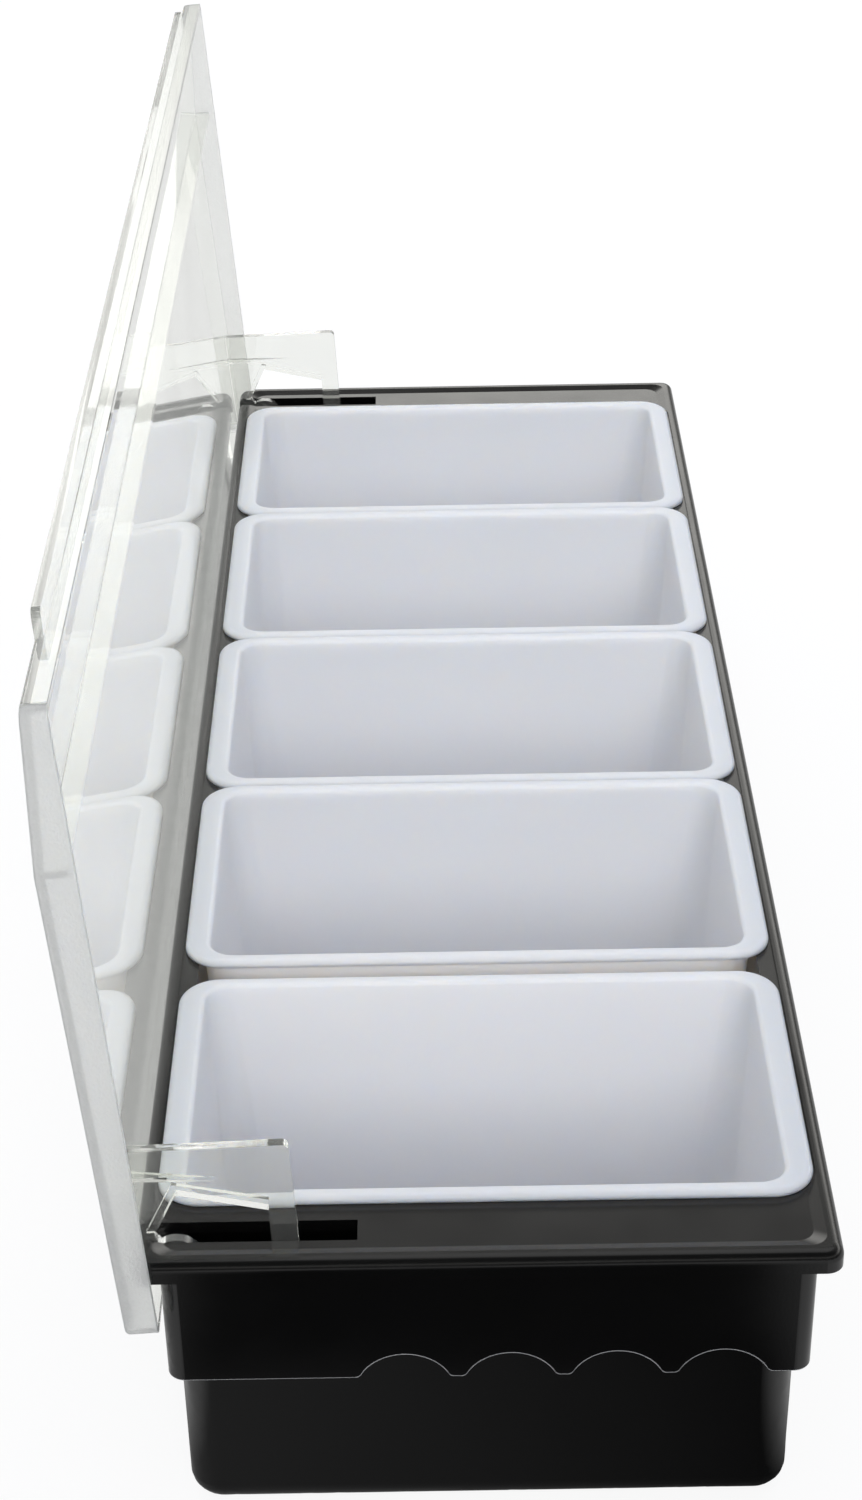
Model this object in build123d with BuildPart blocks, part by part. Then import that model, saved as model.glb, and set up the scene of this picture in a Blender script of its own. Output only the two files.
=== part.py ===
from build123d import *
from math import cos, radians, sin, tan
import os

# Divided snack box: a long black tub, five white trays that lift out and a clear lid.
# X runs along the box, Y from front to back, Z up. The origin is the middle of the underside.
# The lid is hinged along the back and is modelled open, as it stands when the box is in use.

os.makedirs("parts", exist_ok=True)

# Trays
tray_count = 5
tray_length = 89.0
tray_width = 147.6
tray_depth = 76.0
tray_wall = 1.9
tray_floor = 2.2
tray_draft = 3.5
tray_rise = 1.5
rim_side = 1.7
rim_end = 4.4
rim_corner = 10.0
rim_round = 1.6
mouth_round = 1.2
wall_corner = 8.0
base_corner = 12.0
floor_round = 8.0

# Play around the trays: the row is one loose gap shorter than the opening
tray_gap = 0.3
loose_gap = 6.9
end_play = 0.7
side_play = 0.5
seat_gap = 0.2

# Box
box_height = 90.0
end_flange = 20.4
side_flange = 3.2
flange_corner = 4.0
flange_lip = 5.3
lip_round = 2.5
bead_width = 3.4
bead_height = 0.8
bead_slope = 2.6
flange_plate = 3.0
seat_end = 1.8
seat_side = 4.3
tub_wall = 1.9
tub_floor = 2.6
tub_draft = 0.7
tub_corner = 8.0
foot_round = 6.0

# Finger skirts under the end flanges, with scallops in their lower edge
skirt_inset = 2.0
skirt_step = 0.4
skirt_drop = 34.9
skirt_wall = 2.0
skirt_draft = 0.8
skirt_corner = 4.0
scallop_count = 4
scallop_width = 20.2
scallop_depth = 6.5
scallop_start = 29.0
scallop_tip = 3.5
scallop_round = 1.5
skirt_round = 0.5

# Hinge: a bar moulded across each slot, and a snap hook on each lid arm
pivot_inset = 9.0
pivot_drop = 6.0
bar_radius = 3.0
hook_play = 0.1
hook_wall = 2.4
hook_mouth = 4.8
slot_inset = 8.7
slot_width = 7.1
slot_length = 48.8
hook_clearance = 1.5
open_angle = 94.0

# Lid, with heights above the flange when it is shut
lid_wall = 2.0
lid_end_gap = 0.7
lid_back_gap = 0.7
lid_front_inset = 0.3
lid_seat_gap = 0.3
back_rise = 6.0
ridge_rise = 8.4
front_rise = 5.8
ridge_setback = 38.2
back_drop = 1.2
lid_corner = 3.0
edge_round = 1.0
grip_reach = 6.0
grip_inset = 31.0
grip_corner = 2.0
ridge_rib_wall = 1.6
ridge_rib_depth = 4.2

# Lid arms, measured from the pivot with the lid open: forward of it and above it
arm_wall = 2.4
arm_play = 0.4
arm_reach = 25.5
arm_foot_reach = 27.0
arm_foot = 3.0
arm_height = 31.0
arm_root_height = 29.5
arm_corner = 1.5
leg_width = 5.9
leg_lean = 0.4
notch_height = 13.5
notch_peak = 17.9
notch_peak_reach = 0.5
notch_root = 4.8
notch_root_height = 6.6
notch_round = 0.8
notch_bead = 1.7
notch_bead_proud = 1.1
rib_height = 20.5
rib_wall = 1.2
rib_width = 3.0
rib_reach = 9.7
neck_drop = 4.0

# Places worked out from the sizes above
row_length = tray_count * tray_length + (tray_count - 2) * tray_gap + loose_gap
opening_length = row_length + 2 * end_play
opening_width = tray_width + 2 * side_play
box_length = opening_length + 2 * end_flange
box_width = opening_width + 2 * side_flange
flange_z = box_height - bead_height
flange_under = flange_z - flange_plate
lip_z = box_height - flange_lip
cavity_length = opening_length - 2 * seat_end
cavity_width = opening_width - 2 * seat_side
tub_length = cavity_length + 2 * tub_wall
tub_width = cavity_width + 2 * tub_wall
skirt_end = box_length / 2 - skirt_inset
skirt_side = tub_width / 2 + skirt_step
skirt_z = box_height - skirt_drop
skirt_root = tub_length / 2 - tub_wall / 2
slot_outer = box_length / 2 - slot_inset
slot_inner = slot_outer - slot_width
back_y = box_width / 2
pivot_y = back_y - pivot_inset
pivot_z = box_height - pivot_drop
hook_inner = bar_radius + hook_play
hook_outer = hook_inner + hook_wall
lid_end = box_length / 2 + lid_end_gap + lid_wall
lid_back = back_y + lid_back_gap + lid_wall
lid_front = -back_y + lid_front_inset
ridge_y = lid_front + ridge_setback
lid_rim_z = box_height + lid_seat_gap
arm_outer = slot_outer - arm_play
arm_inner = arm_outer - arm_wall


def level(z, x=0.0):
    """Horizontal plane at height z, centred on x."""
    return Plane(origin=(x, 0, z))


def across(x):
    """Upright plane across the box at x; its sketch axes are Y and Z."""
    return Plane.YZ.offset(x)


def across_lid(x):
    """Plane across the lid at x; its sketch axes are the Y and Z of the shut lid."""
    swing = radians(open_angle)
    along_y = Vector(0, cos(swing), -sin(swing))
    along_z = Vector(0, sin(swing), cos(swing))
    origin = Vector(x, pivot_y, pivot_z) - along_y * pivot_y - along_z * pivot_z
    return Plane(origin=origin, x_dir=along_y, z_dir=(1, 0, 0))


def at_pivot(reach, height):
    """Point forward of the pivot and above it, in the sketch axes of across()."""
    return (pivot_y - reach, pivot_z + height)


def sheet_y(height):
    """Y of the middle of the open lid's back sheet, at a height above the pivot."""
    back = across_lid(0).from_local_coords((lid_back, box_height + back_rise - lid_wall / 2, 0))
    ridge = across_lid(0).from_local_coords((ridge_y, box_height + ridge_rise - lid_wall / 2, 0))
    share = (pivot_z + height - back.Z) / (ridge.Z - back.Z)
    return back.Y + share * (ridge.Y - back.Y)


def tapered(low_z, high_z, length, width, corner, draft, x=0.0, low_corner=None):
    """Loft between two rounded rectangles; length and width are those at the top."""
    pinch = 2 * (high_z - low_z) * tan(radians(draft))
    with BuildSketch(level(low_z, x)) as low:
        RectangleRounded(length - pinch, width - pinch, low_corner or corner)
    with BuildSketch(level(high_z, x)) as high:
        RectangleRounded(length, width, corner)
    loft([low.sketch, high.sketch], ruled=True)


def skirt_block(side, inset, low_z, high_z):
    """Solid of one finger skirt, from the tub's end wall outwards, narrowing downwards."""
    plans = []
    for z in (low_z, high_z):
        pinch = inset + (high_z - z) * tan(radians(skirt_draft))
        reach = skirt_end - pinch - skirt_root
        with BuildSketch(level(z, side * (skirt_root + reach / 2))) as plan:
            Rectangle(reach, 2 * (skirt_side - pinch))
            corners = plan.vertices().group_by(Axis.X)
            fillet(corners[-1] if side > 0 else corners[0], radius=skirt_corner - inset)
        plans.append(plan.sketch)
    loft(plans, ruled=True)


# Hollow of the tub, cut from the box below
with BuildPart() as ice_space:
    tapered(tub_floor, box_height, cavity_length, cavity_width, tub_corner - tub_wall, tub_draft)
    fillet(ice_space.faces().sort_by(Axis.Z)[0].edges(), radius=foot_round - tub_wall)

# Hollow behind each finger skirt, open downwards
with BuildPart() as pockets:
    for side in (-1, 1):
        skirt_block(side, skirt_wall, skirt_z - skirt_wall, flange_under)

# Body of the tub up to the flange
with BuildPart() as tub:
    tapered(0, flange_z, tub_length, tub_width, tub_corner, tub_draft)
    fillet(tub.faces().sort_by(Axis.Z)[0].edges(), radius=foot_round)

with BuildPart() as base:
    # Flange with a raised bead along its edge
    with BuildSketch(level(lip_z)):
        RectangleRounded(box_length, box_width, flange_corner)
    extrude(amount=flange_lip)
    fillet(base.faces().sort_by(Axis.Z)[-1].edges(), radius=lip_round)
    with BuildSketch(level(flange_z)):
        inset = 2 * (bead_width + bead_slope)
        RectangleRounded(box_length - inset, box_width - inset, flange_corner)
    with BuildSketch(level(box_height)):
        inset = 2 * bead_width
        RectangleRounded(box_length - inset, box_width - inset, flange_corner)
    loft(mode=Mode.SUBTRACT)

    # Finger skirts with their pockets
    for side in (-1, 1):
        skirt_block(side, 0, skirt_z, flange_under)
    add(pockets.part, mode=Mode.SUBTRACT)
    for side in (-1, 1):
        with BuildSketch(across(side * (skirt_end - skirt_wall))):
            with BuildLine():
                y = scallop_start
                for _ in range(scallop_count):
                    peak = (y - scallop_width / 2, skirt_z + scallop_depth)
                    Line((y + scallop_tip, skirt_z), (y, skirt_z))
                    ThreePointArc((y, skirt_z), peak, (y - scallop_width, skirt_z))
                    y -= scallop_width + scallop_tip
                Polyline(
                    (y + scallop_tip, skirt_z),
                    (y, skirt_z),
                    (y, skirt_z - scallop_tip),
                    (scallop_start + scallop_tip, skirt_z - scallop_tip),
                    (scallop_start + scallop_tip, skirt_z),
                )
            scallops = make_face()
            tips = scallops.vertices().group_by(Axis.Y)[1].sort_by(Axis.X)[1:-1]
            fillet(tips, radius=scallop_round)
        extrude(amount=2 * skirt_wall, both=True, mode=Mode.SUBTRACT)

    # Rounded lower edge of the skirts
    for side in (-1, 1):
        outside = base.faces().sort_by_distance((side * skirt_end, 0, (skirt_z + lip_z) / 2))[0]
        low = outside.edges().filter_by(lambda edge: edge.center().Z < skirt_z + scallop_depth + skirt_round)
        fillet(low, radius=skirt_round)

    # Tub and its hollow
    add(tub.part)
    add(ice_space.part, mode=Mode.SUBTRACT)

    # Slots for the lid arms, open at the back edge, with a hinge bar across each
    for side in (-1, 1):
        with BuildSketch(level(lip_z - bar_radius)):
            with Locations((side * (slot_inner + slot_outer) / 2, back_y - slot_length / 2)):
                Rectangle(slot_width, slot_length)
        extrude(amount=box_height, mode=Mode.SUBTRACT)
        with BuildSketch(level(pivot_z - hook_outer - hook_clearance)):
            with Locations((side * (slot_inner + slot_outer) / 2, back_y)):
                Rectangle(slot_width, 2 * (back_y - skirt_side) + 3 * skirt_wall)
        extrude(amount=box_height, mode=Mode.SUBTRACT)
        with BuildSketch(across(side * skirt_root)):
            with Locations((pivot_y, pivot_z)):
                Circle(bar_radius)
        extrude(amount=side * (skirt_end - skirt_wall / 2 - skirt_root))

    # Seat for the tray rims, cut down through the bead to the flange's flat
    with BuildSketch(level(flange_z)):
        RectangleRounded(opening_length, opening_width, rim_corner + side_play)
    extrude(amount=box_height, mode=Mode.SUBTRACT)

base.part.label = "base"
export_step(base.part, "parts/base.step")

# Trays, each a tapered cup hanging by a flat rim, narrow along its long sides
tray_base = box_height + tray_rise - tray_depth
rim_z = flange_z + seat_gap
rim_top = box_height + tray_rise
cup_length = tray_length - 2 * rim_side
cup_width = tray_width - 2 * rim_end
tray_x = -opening_length / 2 + end_play + tray_length / 2
for number in range(1, tray_count + 1):
    with BuildPart() as tray:
        tapered(tray_base, rim_top, cup_length, cup_width, wall_corner, tray_draft, tray_x, base_corner)
        fillet(tray.faces().sort_by(Axis.Z)[0].edges(), radius=floor_round)
        with BuildSketch(level(rim_z, tray_x)):
            RectangleRounded(tray_length, tray_width, rim_corner)
        extrude(amount=rim_top - rim_z)
        fillet(tray.faces().sort_by(Axis.Z)[-1].edges(), radius=rim_round)
    with BuildPart() as hollow:
        tapered(
            tray_base + tray_floor,
            rim_top,
            cup_length - 2 * tray_wall,
            cup_width - 2 * tray_wall,
            wall_corner - tray_wall,
            tray_draft,
            tray_x,
            base_corner - tray_wall,
        )
        fillet(hollow.faces().sort_by(Axis.Z)[0].edges(), radius=floor_round - tray_wall)
    with BuildPart() as cup:
        add(tray.part)
        add(hollow.part, mode=Mode.SUBTRACT)
        mouth = cup.faces().filter_by(Plane.XY).sort_by(Axis.Z)[-1].inner_wires()[0]
        fillet(mouth.edges(), radius=mouth_round)
    cup.part.label = f"tray_{number}"
    export_step(cup.part, f"parts/tray_{number}.step")
    tray_x += tray_length + (loose_gap if number == 1 else tray_gap)

# Lid: a thin sheet with a gentle ridge, a skirt all round, a finger grip and two arms
with BuildPart() as lid:
    with BuildSketch(across_lid(-lid_end)):
        with BuildLine():
            Polyline(
                (lid_back, box_height - back_drop),
                (lid_back, box_height + back_rise),
                (ridge_y, box_height + ridge_rise),
                (lid_front, box_height + front_rise),
                (lid_front, lid_rim_z),
                close=True,
            )
        make_face()
    extrude(amount=2 * lid_end)
    upright = across_lid(0).y_dir
    fillet(lid.edges().filter_by(Axis((0, 0, 0), upright)), radius=lid_corner)
    with BuildSketch(across_lid(-lid_end + lid_wall)):
        with BuildLine():
            Polyline(
                (lid_back - lid_wall, box_height - back_drop - lid_wall),
                (lid_back - lid_wall, box_height + back_rise - lid_wall),
                (ridge_y, box_height + ridge_rise - lid_wall),
                (lid_front + lid_wall, box_height + front_rise - lid_wall),
                (lid_front + lid_wall, lid_rim_z - lid_wall),
                close=True,
            )
        make_face()
    extrude(amount=2 * (lid_end - lid_wall), mode=Mode.SUBTRACT)
    fillet(lid.faces().sort_by(Axis(across_lid(0).origin, upright))[-1].edges(), radius=edge_round)

    # Finger grip along the front edge
    grip_plane = Plane(
        origin=across_lid(0).from_local_coords((lid_front, box_height + front_rise - lid_wall, 0)),
        x_dir=(1, 0, 0),
        z_dir=upright,
    )
    with BuildSketch(grip_plane):
        with Locations((0, (lid_wall - grip_reach) / 2)):
            RectangleRounded(2 * (lid_end - grip_inset), grip_reach + lid_wall, grip_corner)
    extrude(amount=lid_wall)

    # Rib along the inside of the ridge
    with BuildSketch(across_lid(-lid_end + lid_wall / 2)):
        with Locations((ridge_y, box_height + ridge_rise - lid_wall - ridge_rib_depth / 2)):
            Rectangle(ridge_rib_wall, ridge_rib_depth + lid_wall / 2)
    extrude(amount=2 * lid_end - lid_wall)

    # Arms: a notched plate with a rib, a bead over the notch and a snap hook round the hinge bar
    for side in (-1, 1):
        with BuildSketch(across(side * arm_inner)) as plate:
            with BuildLine():
                Polyline(
                    (sheet_y(arm_root_height), pivot_z + arm_root_height),
                    at_pivot(arm_reach, arm_height),
                    at_pivot(arm_foot_reach, arm_foot),
                    at_pivot(arm_foot_reach - leg_width, arm_foot),
                    at_pivot(arm_foot_reach - leg_width - leg_lean, notch_height),
                    at_pivot(notch_peak_reach, notch_peak),
                    at_pivot(-notch_root, notch_root_height),
                    at_pivot(0, 0),
                    (sheet_y(-neck_drop), pivot_z - neck_drop),
                    close=True,
                )
            make_face()
            fillet(plate.vertices().sort_by_distance(at_pivot(arm_reach, arm_height))[0], radius=arm_corner)
            peak = plate.vertices().sort_by_distance(at_pivot(notch_peak_reach, notch_peak))[0]
            fillet(peak, radius=notch_round)
            with Locations((pivot_y, pivot_z)):
                Circle(hook_outer)
                Circle(hook_inner, mode=Mode.SUBTRACT)
            with Locations(at_pivot(0, -hook_outer / 2)):
                Rectangle(hook_mouth, hook_outer, mode=Mode.SUBTRACT)
        extrude(amount=side * arm_wall)
        with BuildSketch(across(side * (arm_inner + arm_wall / 2))):
            with BuildLine():
                leg_top = arm_foot_reach - leg_width - leg_lean
                Polyline(
                    at_pivot(-notch_root, notch_root_height),
                    at_pivot(notch_peak_reach, notch_peak),
                    at_pivot(leg_top, notch_height),
                    at_pivot(leg_top, notch_height + notch_bead),
                    at_pivot(notch_peak_reach - notch_bead / 2, notch_peak + notch_bead),
                    at_pivot(-notch_root - notch_bead, notch_root_height),
                    close=True,
                )
            make_face()
        extrude(amount=-side * (arm_wall / 2 + notch_bead_proud))
        with BuildSketch(level(pivot_z + rib_height)):
            with BuildLine():
                Polyline(
                    (side * (arm_inner + arm_wall / 2), sheet_y(rib_height)),
                    (side * (arm_inner - rib_width), sheet_y(rib_height)),
                    (side * arm_inner, pivot_y - rib_reach),
                    (side * (arm_inner + arm_wall / 2), pivot_y - rib_reach),
                    close=True,
                )
            make_face()
        extrude(amount=rib_wall)

lid.part.label = "lid"
export_step(lid.part, "parts/lid.step")
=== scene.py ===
from math import cos, radians, sin

import bpy
from mathutils import Matrix, Vector

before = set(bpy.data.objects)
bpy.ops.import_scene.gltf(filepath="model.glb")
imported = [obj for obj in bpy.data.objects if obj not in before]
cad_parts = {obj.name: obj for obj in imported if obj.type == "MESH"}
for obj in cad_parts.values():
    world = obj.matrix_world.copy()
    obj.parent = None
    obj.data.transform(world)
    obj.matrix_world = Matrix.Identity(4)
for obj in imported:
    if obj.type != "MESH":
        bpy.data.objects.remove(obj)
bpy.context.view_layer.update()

scene = bpy.context.scene

# Places on the part that the materials follow, in metres, with its length along X and its height
# along Z. Here and below, a pair is a span over which a mask rises or falls.
FLANGE_TOP_Z = (0.0868, 0.0884)
SKIRT_FACE_X = (0.2400, 0.2410)
SCALLOPS_START_Z = (0.0550, 0.0552)
SCALLOPS_END_Z = (0.0630, 0.0634)
END_PLATE_FACE_X = (0.2470, 0.2485)

# Z of a face's normal: where it starts to look down, and where it looks straight down
LEVEL_TO_DOWN = (-0.30, -0.15)
STRAIGHT_DOWN = (-0.99, -0.97)

# The part of a noise's range that holds nearly all its values
NOISE_SPAN = (0.3, 0.7)


# Node helpers

def tree_of(owner):
    """Empty node tree of a material or world."""
    owner.use_nodes = True
    nt = owner.node_tree
    nt.nodes.clear()
    return nt


def put(nt, kind, **values):
    """New node; keyword values set its sockets, or its properties where it has no such socket."""
    node = nt.nodes.new(kind)
    for name, value in values.items():
        label = name.replace("_", " ")
        if label in node.inputs:
            node.inputs[label].default_value = value
        else:
            setattr(node, name, value)
    return node


def feed(nt, socket, value):
    """Link the value into the socket, or set it there if it is a plain number."""
    if isinstance(value, (int, float)):
        socket.default_value = value
    else:
        nt.links.new(value, socket)


def own_coords(nt):
    """The object's own coordinates and normal, which move with it."""
    outputs = put(nt, "ShaderNodeTexCoord").outputs
    return outputs["Object"], outputs["Normal"]


def separate(nt, vector):
    node = put(nt, "ShaderNodeSeparateXYZ")
    nt.links.new(vector, node.inputs["Vector"])
    return node.outputs


def noise(nt, coords, scale, detail=3.0, rough=0.5):
    node = put(nt, "ShaderNodeTexNoise", Scale=scale, Detail=detail, Roughness=rough)
    nt.links.new(coords, node.inputs["Vector"])
    return node.outputs["Fac"]


def remap(nt, value, span, to_low=0.0, to_high=1.0, soft=False):
    """The value's span drawn over another one, clamped at both ends."""
    node = put(nt, "ShaderNodeMapRange", interpolation_type="SMOOTHSTEP" if soft else "LINEAR",
               From_Min=span[0], From_Max=span[1], To_Min=to_low, To_Max=to_high)
    nt.links.new(value, node.inputs["Value"])
    return node.outputs["Result"]


def calc(nt, operation, first, second):
    node = put(nt, "ShaderNodeMath", operation=operation)
    feed(nt, node.inputs[0], first)
    feed(nt, node.inputs[1], second)
    return node.outputs["Value"]


def magnitude(nt, value):
    return calc(nt, "ABSOLUTE", value, 0)


def mix_colour(nt, fac, low, high):
    """Blend of two colours; the first may also be a colour from another node."""
    node = put(nt, "ShaderNodeMix", data_type="RGBA", B=(*high, 1))
    nt.links.new(fac, node.inputs["Factor"])
    if isinstance(low, tuple):
        node.inputs["A"].default_value = (*low, 1)
    else:
        nt.links.new(low, node.inputs["A"])
    return node.outputs["Result"]


def mix_shaders(nt, fac, first, second):
    node = put(nt, "ShaderNodeMixShader")
    for socket, value in zip(node.inputs, (fac, first.outputs[0], second.outputs[0])):
        nt.links.new(value, socket)
    return node


def bump(nt, height, strength, distance, base=None):
    node = put(nt, "ShaderNodeBump", Strength=strength, Distance=distance)
    nt.links.new(height, node.inputs["Height"])
    if base is not None:
        nt.links.new(base, node.inputs["Normal"])
    return node.outputs["Normal"]


def plastic(nt, colour, roughness, normal, **values):
    shader = put(nt, "ShaderNodeBsdfPrincipled", **values)
    nt.links.new(colour, shader.inputs["Base Color"])
    nt.links.new(roughness, shader.inputs["Roughness"])
    nt.links.new(normal, shader.inputs["Normal"])
    return shader


def finish_with(nt, shader, kind="ShaderNodeOutputMaterial"):
    nt.links.new(shader.outputs[0], put(nt, kind).inputs["Surface"])


# Materials

def painted_highlight_line(nt, place, facing):
    """Mask of the rounded edge round the scallops of the two finger skirts, where a painted
    highlight goes: a pale line standing in for light caught on that edge.
    """
    turned_down = calc(nt, "MULTIPLY", remap(nt, facing["Z"], LEVEL_TO_DOWN, 1, 0),
                       remap(nt, facing["Z"], STRAIGHT_DOWN))
    at_end = remap(nt, magnitude(nt, place["X"]), SKIRT_FACE_X)
    at_scallops = calc(nt, "MULTIPLY", remap(nt, place["Z"], SCALLOPS_START_Z),
                       remap(nt, place["Z"], SCALLOPS_END_Z, 1, 0))
    return calc(nt, "MULTIPLY", calc(nt, "MULTIPLY", turned_down, at_end), at_scallops)


def black_plastic():
    """Glossy all over, more satin on the top of the flange, with a painted highlight: a pale line
    round the scallops.
    """
    mat = bpy.data.materials.new("black_plastic_moulded")
    nt = tree_of(mat)
    coords, normal = own_coords(nt)
    place = separate(nt, coords)
    painted_highlight = painted_highlight_line(nt, place, separate(nt, normal))
    on_top = remap(nt, place["Z"], FLANGE_TOP_Z, 0.0, 0.07)
    wave = noise(nt, coords, 18, 1.0)
    grain = noise(nt, coords, 1500, 2)
    haze = noise(nt, coords, 40, 3, 0.55)
    tone = mix_colour(nt, haze, (0.0020, 0.0020, 0.0020), (0.0030, 0.0030, 0.0030))
    # Painted highlight: the rounded edge round the scallops gets a pale grey base colour in place
    # of the light it would catch
    tone = mix_colour(nt, painted_highlight, tone, (0.5, 0.5, 0.5))
    satin = calc(nt, "ADD", remap(nt, haze, NOISE_SPAN, 0.13, 0.19), on_top)
    surface = bump(nt, grain, 0.04, 0.0002, bump(nt, wave, 0.5, 0.0012))
    finish_with(nt, plastic(nt, tone, satin, surface, IOR=1.5))
    return mat


def white_plastic():
    """Light goes some millimetres into it, which softens the shade inside the trays."""
    mat = bpy.data.materials.new("white_plastic_moulded")
    nt = tree_of(mat)
    coords, _ = own_coords(nt)
    cloud = noise(nt, coords, 9, 1.0)
    grain = noise(nt, coords, 1800, 2)
    smear = noise(nt, coords, 25, 2)
    tone = mix_colour(nt, cloud, (0.957, 0.938, 0.944), (0.965, 0.946, 0.952))
    satin = remap(nt, smear, (0, 1), 0.345, 0.375)
    finish_with(nt, plastic(nt, tone, satin, bump(nt, grain, 0.04, 0.0002), IOR=1.5,
                            Subsurface_Weight=1.0, Subsurface_Scale=1.0,
                            Subsurface_Radius=(0.0062, 0.0054, 0.0044)))
    return mat


def clear_plastic():
    """Clear on the sheet and the arms; the outer faces of the two end plates are stippled."""
    mat = bpy.data.materials.new("clear_plastic_moulded")
    nt = tree_of(mat)
    coords, _ = own_coords(nt)
    wave = noise(nt, coords, 14, 1.0)
    grain = noise(nt, coords, 1500, 3, 0.65)
    smear = noise(nt, coords, 30)
    at_plates = remap(nt, magnitude(nt, separate(nt, coords)["X"]), END_PLATE_FACE_X)
    ripple = bump(nt, wave, 0.07, 0.001)
    smooth = plastic(nt, mix_colour(nt, smear, (0.885, 0.895, 0.860), (0.915, 0.925, 0.895)),
                     remap(nt, smear, NOISE_SPAN, 0.015, 0.03), ripple,
                     IOR=1.49, Transmission_Weight=0.97)
    stipple = plastic(nt, mix_colour(nt, grain, (0.88, 0.885, 0.875), (0.97, 0.975, 0.965)),
                      remap(nt, grain, NOISE_SPAN, 0.30, 0.42),
                      bump(nt, grain, 0.6, 0.0005, ripple),
                      IOR=1.49, Transmission_Weight=0.62)
    # Its shadow is that of a pale tint, without the dark rims that traced glass would give
    tint = put(nt, "ShaderNodeBsdfTransparent", Color=(0.93, 0.94, 0.93, 1))
    path = put(nt, "ShaderNodeLightPath").outputs
    finish_with(nt, mix_shaders(nt, path["Is Shadow Ray"],
                                mix_shaders(nt, at_plates, smooth, stipple), tint))
    return mat


def dress(node, mat):
    for slot in bpy.data.objects[node].material_slots:
        slot.material = mat


dress("base", black_plastic())
dress("lid", clear_plastic())
tray_white = white_plastic()
for number in range(1, 6):
    dress(f"tray_{number}", tray_white)


# Floor

CARD_STARTS_X = (-0.66, -0.50)
CARD_ENDS_X = (-0.20, -0.16)
CARD_SIDE_Y = (0.072, 0.10)
SHEEN_STARTS_X = (-0.315, -0.295)
SHEEN_GROWS_Y = (-0.07, 0.07)


def seen_directly(nt, path):
    """1 for the camera's own rays and for those that go on through the lid, otherwise 0."""
    return calc(nt, "MAXIMUM", path["Is Camera Ray"], path["Is Transmission Ray"])


def floor_material():
    """Pale to the eye and through the lid. In gloss it is light grey, apart from a dark card that
    lies before the box's near end, so that the near black faces stay deep. Close to the box the
    card has a sheen, which grows towards +Y."""
    mat = bpy.data.materials.new("studio_floor")
    nt = tree_of(mat)
    path = put(nt, "ShaderNodeLightPath").outputs
    seen = seen_directly(nt, path)
    place = separate(nt, own_coords(nt)[0])
    before_card = remap(nt, place["X"], CARD_STARTS_X, 1, 0)
    past_card = remap(nt, place["X"], CARD_ENDS_X)
    beside_card = remap(nt, magnitude(nt, place["Y"]), CARD_SIDE_Y)
    off_card = calc(nt, "MAXIMUM", calc(nt, "MAXIMUM", before_card, past_card), beside_card)
    sheen = calc(nt, "MULTIPLY", remap(nt, place["X"], SHEEN_STARTS_X),
                 remap(nt, place["Y"], SHEEN_GROWS_Y, 0.04, 0.24))
    mirrored = put(nt, "ShaderNodeEmission")
    nt.links.new(calc(nt, "MAXIMUM", remap(nt, off_card, (0, 1), 0.025, 0.7), sheen),
                 mirrored.inputs["Strength"])
    matt = put(nt, "ShaderNodeBsdfDiffuse")
    nt.links.new(mix_colour(nt, seen, (0.5, 0.5, 0.5), (0.95, 0.95, 0.95)), matt.inputs["Color"])
    # The matt share that is left to the eye keeps the object's shadow
    glow = put(nt, "ShaderNodeEmission", Strength=1.04)
    pale = mix_shaders(nt, calc(nt, "MULTIPLY", seen, 0.85), matt, glow)
    in_gloss = calc(nt, "MULTIPLY", path["Is Glossy Ray"], calc(nt, "SUBTRACT", 1, seen))
    finish_with(nt, mix_shaders(nt, in_gloss, pale, mirrored))
    return mat


REACH = 6  # metres from the middle to each edge
mesh = bpy.data.meshes.new("floor")
mesh.from_pydata([(-REACH, -REACH, 0), (REACH, -REACH, 0), (REACH, REACH, 0), (-REACH, REACH, 0)],
                 [], [(0, 1, 2, 3)])
floor = bpy.data.objects.new("floor", mesh)
scene.collection.objects.link(floor)
mesh.materials.append(floor_material())


# World: white behind everything, a pale blue sky for light, and for gloss a dim sky with a soft
# bright band low down, all of it dimmer on the camera's side. A ray that has turned many times in
# the clear plastic sees white as well, so that the lid has no black edges.

MANY_TURNS = 6
BAND_RISES_Z = (0.22, 0.38)
BAND_FADES_Z = (0.41, 0.59)
BAND_STRENGTH = 2.7
DIM_SKY_STRENGTH = 0.3
CAMERA_SIDE_X = (-0.4, 0.3)
CAMERA_SIDE_SHARE = 0.25

scene.world = bpy.data.worlds.new("studio")
nt = tree_of(scene.world)
path = put(nt, "ShaderNodeLightPath").outputs
turned_often = calc(nt, "GREATER_THAN", path["Ray Depth"], MANY_TURNS)
seen = calc(nt, "MAXIMUM", seen_directly(nt, path), turned_often)
way = separate(nt, put(nt, "ShaderNodeTexCoord").outputs["Generated"])
band = calc(nt, "MULTIPLY", remap(nt, way["Z"], BAND_RISES_Z, soft=True),
            remap(nt, way["Z"], BAND_FADES_Z, BAND_STRENGTH, 0, soft=True))
share = remap(nt, way["X"], CAMERA_SIDE_X, CAMERA_SIDE_SHARE, 1, soft=True)
ambient = put(nt, "ShaderNodeBackground", Color=(0.84, 0.90, 1.03, 1), Strength=0.5)
mirrored = put(nt, "ShaderNodeBackground", Color=(1.0, 0.99, 0.95, 1))
nt.links.new(calc(nt, "MULTIPLY", calc(nt, "ADD", band, DIM_SKY_STRENGTH), share),
             mirrored.inputs["Strength"])
backdrop = put(nt, "ShaderNodeBackground", Color=(1, 1, 1, 1), Strength=1.0)
light = mix_shaders(nt, path["Is Glossy Ray"], ambient, mirrored)
finish_with(nt, mix_shaders(nt, seen, light, backdrop), "ShaderNodeOutputWorld")


# Lamps. The two that would show as hard shapes in the lid are left out of gloss.

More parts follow.
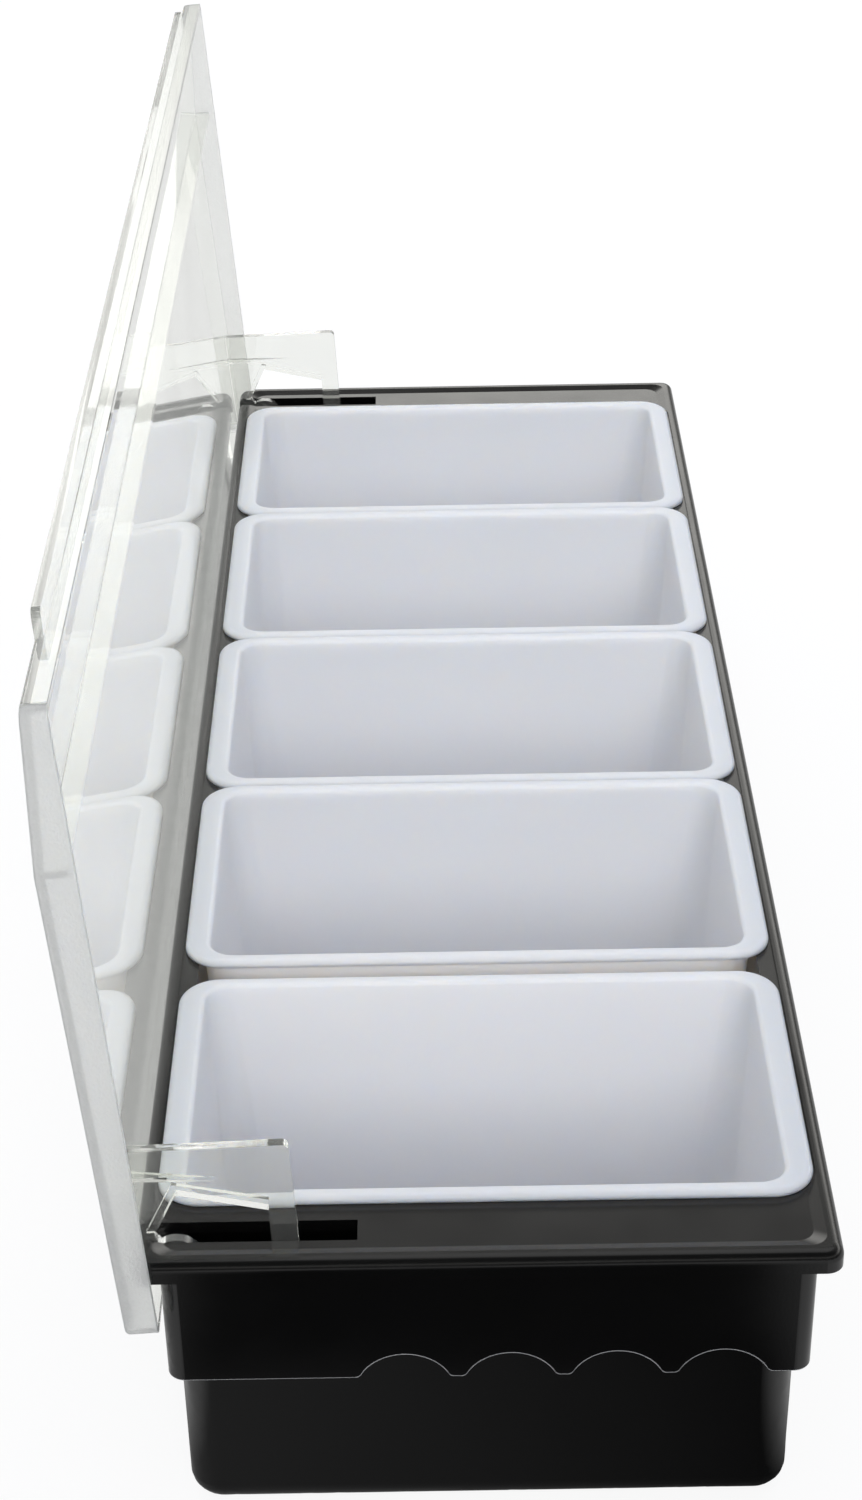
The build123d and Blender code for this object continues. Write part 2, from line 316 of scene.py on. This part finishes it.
def softbox(name, place, target, size, power, colour=(1, 1, 1), spread=180, in_gloss=True):
    """Area lamp with its size in metres, its power in watts and its spread in degrees."""
    data = bpy.data.lights.new(name, "AREA")
    data.shape = "RECTANGLE"
    data.size, data.size_y = size
    data.energy = power
    data.color = colour
    data.spread = radians(spread)
    lamp = bpy.data.objects.new(name, data)
    scene.collection.objects.link(lamp)
    lamp.location = place
    lamp.rotation_euler = (Vector(target) - Vector(place)).to_track_quat("-Z", "Y").to_euler()
    lamp.visible_camera = False
    lamp.visible_transmission = False
    lamp.visible_glossy = in_gloss


softbox("overhead", (0.3, -0.1, 1.6), (0.1, 0, 0.05), (1.4, 1.3), 4.3)
softbox("front_key", (-1.15, -0.1, 0.76), (0.15, 0, 0.05), (1.0, 0.7), 1.04,
        colour=(1.0, 0.965, 0.925), spread=37, in_gloss=False)
softbox("backdrop_glow", (1.6, 0, 0.50), (0, 0, 0.3), (2.6, 0.55), 9, in_gloss=False)


# Camera, solved from the photograph's perspective. It looks along +X.

EYE = Vector((-0.7575, 0.0103, 0.5033))
YAW, PITCH, ROLL = radians(0.056), radians(29.76), radians(-0.971)
LENS_MM, SENSOR_MM = 71.8, 36

ahead = Vector((cos(YAW) * cos(PITCH), sin(YAW) * cos(PITCH), -sin(PITCH)))
level_right = ahead.cross(Vector((0, 0, 1))).normalized()
level_up = level_right.cross(ahead)
right = level_right * cos(ROLL) + level_up * sin(ROLL)
up = level_up * cos(ROLL) - level_right * sin(ROLL)
data = bpy.data.cameras.new("camera")
data.sensor_fit = "VERTICAL"
data.sensor_height = SENSOR_MM
data.lens = LENS_MM
data.shift_y = 0.0155  # brings the top corner of the lid into the frame
data.clip_start = 0.01
camera = bpy.data.objects.new("camera", data)
scene.collection.objects.link(camera)
camera.matrix_world = Matrix.Translation(EYE) @ Matrix((right, up, -ahead)).transposed().to_4x4()
scene.camera = camera

scene.view_settings.view_transform = "Standard"
# Light goes round many times inside clear plastic before it leaves
scene.cycles.max_bounces = 40
scene.cycles.glossy_bounces = 32
scene.cycles.transmission_bounces = 32
